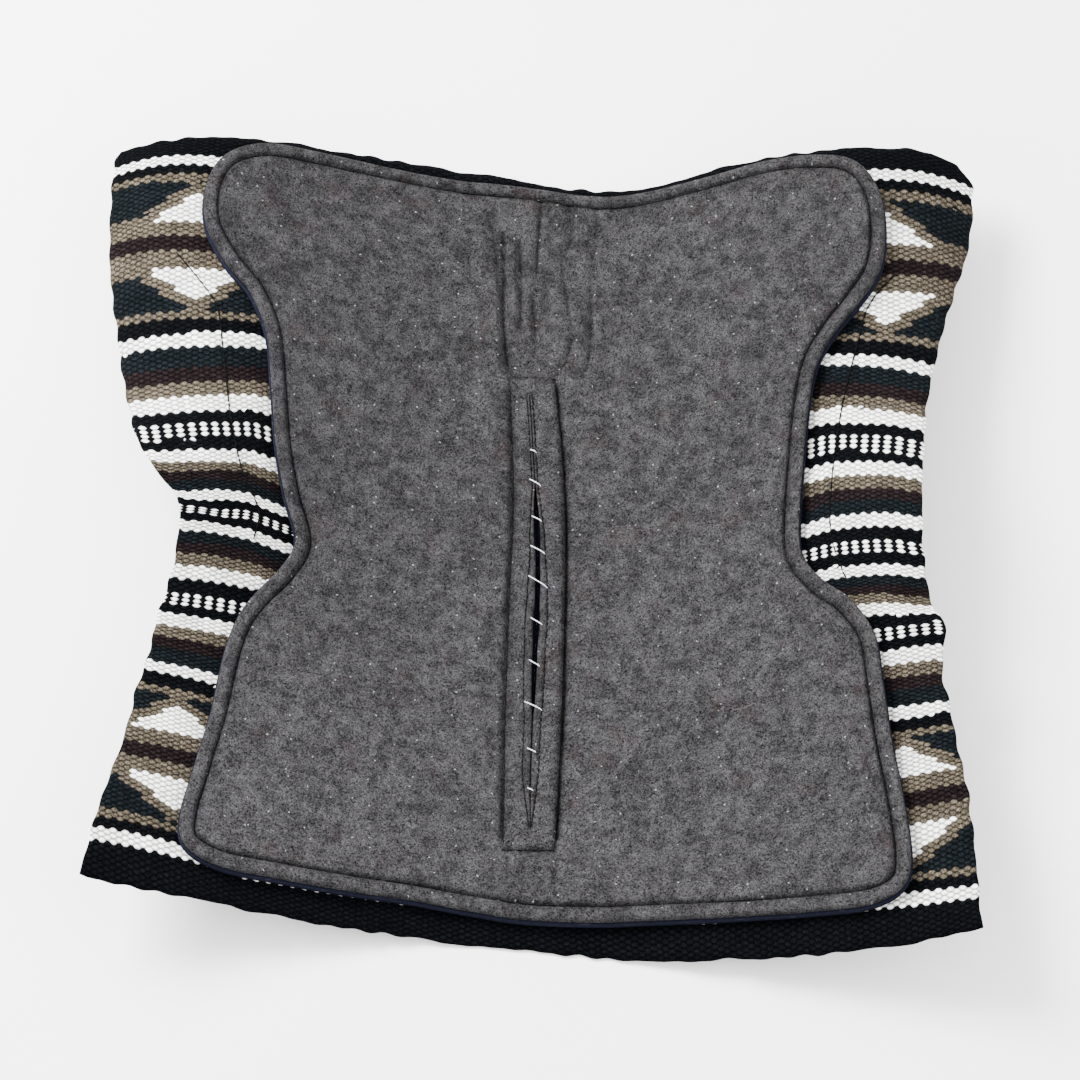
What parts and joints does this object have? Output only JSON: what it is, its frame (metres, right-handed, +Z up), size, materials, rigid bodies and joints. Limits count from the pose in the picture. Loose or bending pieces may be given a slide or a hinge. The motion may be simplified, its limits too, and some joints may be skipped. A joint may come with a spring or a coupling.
{
  "type": "western saddle pad",
  "caption": "Waisted horse saddle pad lying felt side up: striped woven wool blanket, padded core and lobed felt face, stitched round a spine slit, folding along the spine.",
  "frame": {"origin": "middle of the bounding box, on the floor plane under the pad", "axes": "+X towards the side of the pad on the right when seen from the felt side with the withers end up, +Y towards the withers end, +Z up from the floor to the felt face"},
  "size_m": [0.848, 0.8562, 0.1385],
  "materials": {
    "woven_wool": "striped flat weave",
    "core_foam": "navy pressed fibre",
    "wool_felt": "heathered grey felt",
    "facing_felt": "thin grey felt",
    "lip_felt": "folded grey felt",
    "wear_leather": "dark brown, matt",
    "dark_thread": "waxed thread",
    "pale_thread": "pale grey twisted thread"
  },
  "bodies": {
    "left_side": {"blanket_left": "woven_wool", "core_left": "core_foam", "felt_left": "wool_felt", "facing_left": "facing_felt", "lip_left": "lip_felt", "leather_left": "wear_leather", "edge_thread_left": "dark_thread", "facing_thread_left": "dark_thread", "lip_thread_left": "dark_thread", "leather_thread_left": "dark_thread", "basting_left": "pale_thread"},
    "right_side": {"blanket_right": "woven_wool", "core_right": "core_foam", "felt_right": "wool_felt", "facing_right": "facing_felt", "lip_right": "lip_felt", "leather_right": "wear_leather", "edge_thread_right": "dark_thread", "facing_thread_right": "dark_thread", "lip_thread_right": "dark_thread", "leather_thread_right": "dark_thread", "basting_right": "pale_thread"}
  },
  "joints": [
    {"name": "spine_fold", "type": "hinge", "parent": "left_side", "child": "right_side", "pos_m": [-0.004, 0, 0.0294], "axis": [0, -1, 0], "range_deg": [0, 140]}
  ]
}
